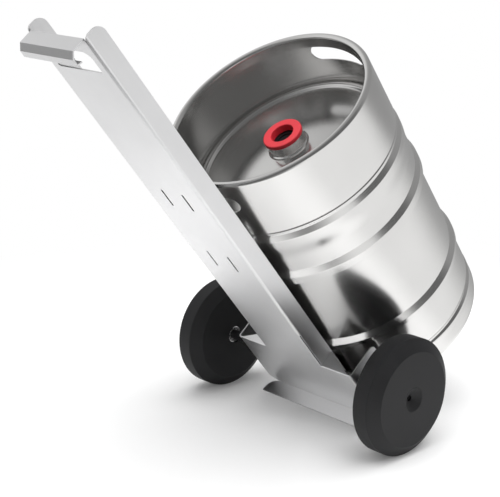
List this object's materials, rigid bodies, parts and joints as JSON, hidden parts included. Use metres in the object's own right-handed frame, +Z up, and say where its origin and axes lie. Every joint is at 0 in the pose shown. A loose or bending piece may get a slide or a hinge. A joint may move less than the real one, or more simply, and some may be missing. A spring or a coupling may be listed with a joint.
{
  "type": "beverage keg trolley",
  "caption": "Two-wheeled trolley of folded steel sheet, tipped back, with a stainless beverage keg standing on its toe plate",
  "frame": {"origin": "bottom centre of the whole part's bounding box, on the floor under the tipped trolley", "axes": "+X to the right-hand wheel, +Y towards the toe plate and the keg's foot, away from the handle, +Z up"},
  "size_m": [0.544, 0.9688, 0.8168],
  "materials": {
    "satin_sheet": "very light satin stainless sheet, softly mirroring",
    "keg_steel": "satin stainless, fine turned grain round the body",
    "bright_steel": "plain machined steel",
    "bearing_steel": "ground bearing steel",
    "black_steel": "black oxide",
    "black_paint": "satin black powder coat",
    "black_plastic": "matt black moulding",
    "wheel_rubber": "matt charcoal solid tyre",
    "red_plastic": "satin red moulding",
    "black_rubber": "black valve rubber"
  },
  "bodies": {
    "trolley": {"frame_sheet": "satin_sheet", "toe_plate": "satin_sheet", "axle": "bright_steel", "axle_collars": "black_steel", "collar_grub_screws": "black_steel", "axle_spacers": "black_plastic", "bearing_inner_rings": "bearing_steel", "bearing_distance_sleeves": "bright_steel", "axle_end_washers": "bright_steel", "axle_end_screws": "black_steel", "catch_yoke": "black_paint", "catch_pin": "bright_steel", "catch_pin_clips": "bright_steel"},
    "left_wheel": {"wheel_left": "wheel_rubber", "bearing_outer_rings_left": "bearing_steel", "bearing_balls_left": "bearing_steel", "hub_cap_left": "black_plastic"},
    "right_wheel": {"wheel_right": "wheel_rubber", "bearing_outer_rings_right": "bearing_steel", "bearing_balls_right": "bearing_steel", "hub_cap_right": "black_plastic"},
    "catch": {"rim_catch": "black_paint"},
    "keg": {"keg_lower_shell": "keg_steel", "keg_upper_shell": "keg_steel", "keg_upper_chime": "keg_steel", "keg_lower_chime": "keg_steel", "keg_neck": "bright_steel", "neck_cap_ring": "red_plastic", "valve_body": "bright_steel", "valve_lock_ring": "bright_steel", "valve_spring": "bright_steel", "spear_tube": "bright_steel"},
    "plunger": {"valve_plunger": "black_rubber"}
  },
  "joints": [
    {"name": "left_wheel_spin", "type": "hinge", "parent": "trolley", "child": "left_wheel", "pos_m": [-0.24, 0.10135, 0.1125], "axis": [1, 0, 0], "continuous": true},
    {"name": "right_wheel_spin", "type": "hinge", "parent": "trolley", "child": "right_wheel", "pos_m": [0.24, 0.10135, 0.1125], "axis": [1, 0, 0], "continuous": true},
    {"name": "catch_swing", "type": "hinge", "parent": "trolley", "child": "catch", "pos_m": [0, -0.20254, 0.50697], "axis": [-1, 0, 0], "range_deg": [0, 95]},
    {"name": "keg_lift", "type": "slide", "parent": "trolley", "child": "keg", "axis": [0, -0.5831, 0.8124], "range_m": [0, 0.7]},
    {"name": "plunger_press", "type": "slide", "parent": "keg", "child": "plunger", "axis": [0, 0.5831, -0.8124], "range_m": [0, 0.006], "stiffness_N_per_m": 2000, "deforming": ["valve_spring"]}
  ]
}
